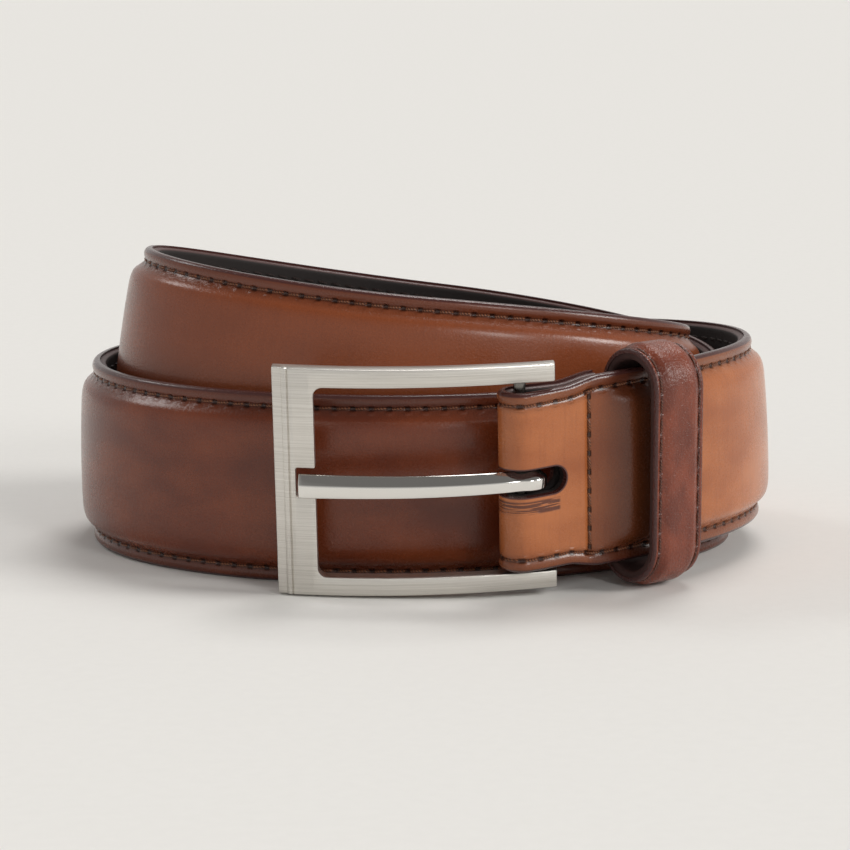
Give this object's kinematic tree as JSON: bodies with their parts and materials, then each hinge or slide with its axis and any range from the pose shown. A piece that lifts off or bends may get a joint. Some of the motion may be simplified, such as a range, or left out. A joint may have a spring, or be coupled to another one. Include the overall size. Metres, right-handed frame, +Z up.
{
  "type": "leather belt",
  "caption": "Rolled-up leather dress belt with a padded, stitched strap, satin metal buckle with a hinged prong, and a leather keeper loop.",
  "frame": {"origin": "on the surface that the belt stands on, under the middle of its box", "axes": "+X along the roll's longer side, to the right when facing the buckle; +Y away from the buckle's front; +Z up, along the strap's width"},
  "size_m": [0.1328, 0.109, 0.0566],
  "materials": {
    "face_leather": "burnished smooth calf, tan to dark brown",
    "lining_leather": "matt dark brown nubuck",
    "loop_leather": "glossy fine-grained reddish brown",
    "padding": "pressed fibre felt",
    "thread": "waxed brown thread",
    "satin_nickel": "brushed satin nickel",
    "polished_steel": "polished"
  },
  "bodies": {
    "strap": {"strap_face": "face_leather", "strap_lining": "lining_leather", "strap_filler": "padding", "edge_needle_thread": "thread", "edge_bobbin_thread": "thread", "seam_needle_thread": "thread", "seam_bobbin_thread": "thread"},
    "buckle": {"buckle_frame": "satin_nickel", "heel_pin": "polished_steel"},
    "prong": {"prong": "polished_steel"},
    "keeper": {"loop_face": "loop_leather", "loop_lining": "lining_leather", "loop_filler": "padding", "loop_buckle_side_thread": "thread", "loop_tip_side_thread": "thread", "loop_staple": "polished_steel"}
  },
  "joints": [
    {"name": "buckle_swing", "type": "hinge", "parent": "strap", "child": "buckle", "pos_m": [0.01702, -0.04876, 0.02194], "axis": [-0.02, -0.083, 0.9964], "range_deg": [0, 60]},
    {"name": "prong_swing", "type": "hinge", "parent": "buckle", "child": "prong", "pos_m": [0.01702, -0.04876, 0.02194], "axis": [-0.02, -0.083, 0.9964], "range_deg": [0, 70]},
    {"name": "keeper_slide", "type": "hinge", "parent": "strap", "child": "keeper", "pos_m": [-0.00682, 0.02473, 0.02], "axis": [0, 0, 1], "range_deg": [-2, 2]}
  ]
}
